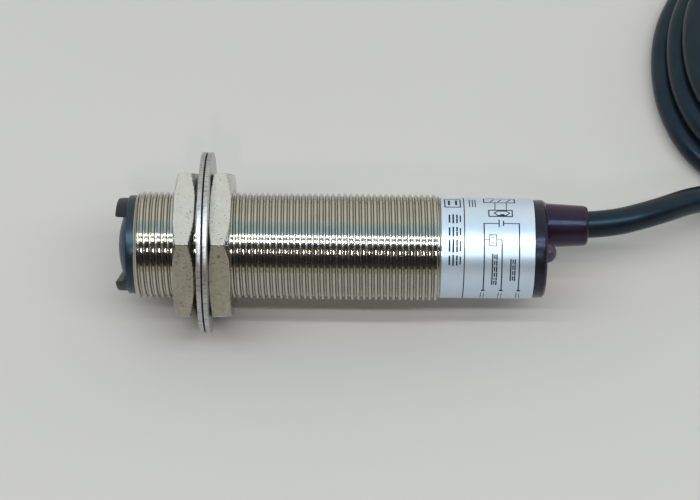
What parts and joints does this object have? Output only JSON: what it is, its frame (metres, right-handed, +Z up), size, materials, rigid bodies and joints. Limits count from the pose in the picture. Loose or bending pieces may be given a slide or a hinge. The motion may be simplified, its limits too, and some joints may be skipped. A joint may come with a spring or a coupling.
{
  "type": "photoelectric sensor",
  "caption": "Threaded cylindrical photoelectric sensor with a lensed sensing face, lock nuts and washers, a label, a translucent rear cap and a coiled moulded cable with bare cores.",
  "frame": {"origin": "on the surface the sensor stands on, under the middle of the sensor without its cable", "axes": "+X along the barrel from the sensing face to the cable, +Z up"},
  "size_m": [0.155, 0.0906, 0.0306],
  "materials": {
    "nickel_brass": "satin nickel plate",
    "black_cap": "satin",
    "lens": "polished, dark tinted",
    "seal_rubber": "matt",
    "black_inner": "matt",
    "led_clear": "polished",
    "liner": "matt",
    "board": "satin",
    "capacitor": "satin",
    "led_amber": "polished",
    "trimmer_blue": "satin",
    "plain_brass": "machined",
    "smoke_cap": "polished, translucent",
    "foil": "satin foil",
    "nickel_nut": "nickel plate, slightly pitted",
    "nickel_washer": "nickel plate, satin",
    "cable_black": "semi-gloss",
    "core_brown": "satin",
    "core_blue": "satin",
    "core_black": "satin"
  },
  "bodies": {
    "housing": {"barrel": "nickel_brass", "front_cap": "black_cap", "front_lens": "lens", "front_seal": "seal_rubber", "optics_holder": "black_inner", "emitter_led": "led_clear", "receiver_diode": "led_clear", "inner_sleeve": "liner", "circuit_board": "board", "control_chip": "black_inner", "output_transistor": "black_inner", "buffer_capacitor": "capacitor", "indicator_led": "led_amber", "trimmer_body": "trimmer_blue", "rear_cap": "smoke_cap", "rear_seal": "seal_rubber", "label_wrap": "foil", "cable_lead": "cable_black", "cable_coil": "cable_black", "cable_tail": "cable_black", "wire_brown": "core_brown", "wire_blue": "core_blue", "wire_black": "core_black", "inner_lead_brown": "core_brown", "inner_lead_blue": "core_blue", "inner_lead_black": "core_black"},
    "front_washer": {"front_washer": "nickel_washer"},
    "front_nut": {"front_nut": "nickel_nut"},
    "rear_washer": {"rear_washer": "nickel_washer"},
    "rear_nut": {"rear_nut": "nickel_nut"},
    "trimmer": {"trimmer_screw": "plain_brass"}
  },
  "joints": [
    {"name": "front_washer_slide", "type": "slide", "parent": "housing", "child": "front_washer", "axis": [1, 0, 0], "range_m": [-0.00651, 0.00011]},
    {"name": "front_nut_turn", "type": "hinge", "parent": "front_washer", "child": "front_nut", "pos_m": [-0.02795, 0, 0.0144], "axis": [1, 0, 0], "range_deg": [-2340, 36]},
    {"name": "rear_washer_slide", "type": "slide", "parent": "housing", "child": "rear_washer", "axis": [1, 0, 0], "range_m": [-0.00011, 0.03401]},
    {"name": "rear_nut_turn", "type": "hinge", "parent": "rear_washer", "child": "rear_nut", "pos_m": [-0.02195, 0, 0.0144], "axis": [1, 0, 0], "range_deg": [-36, 12240]},
    {"name": "trimmer_turn", "type": "hinge", "parent": "housing", "child": "trimmer", "pos_m": [0.03, 0.00115, 0.01015], "axis": [1, 0, 0], "range_deg": [-135, 135]}
  ],
  "couplings": [
    {"joint": "front_washer_slide", "follows": "front_nut_turn", "m_per_rad": 0.00015915},
    {"joint": "rear_washer_slide", "follows": "rear_nut_turn", "m_per_rad": 0.00015915}
  ]
}
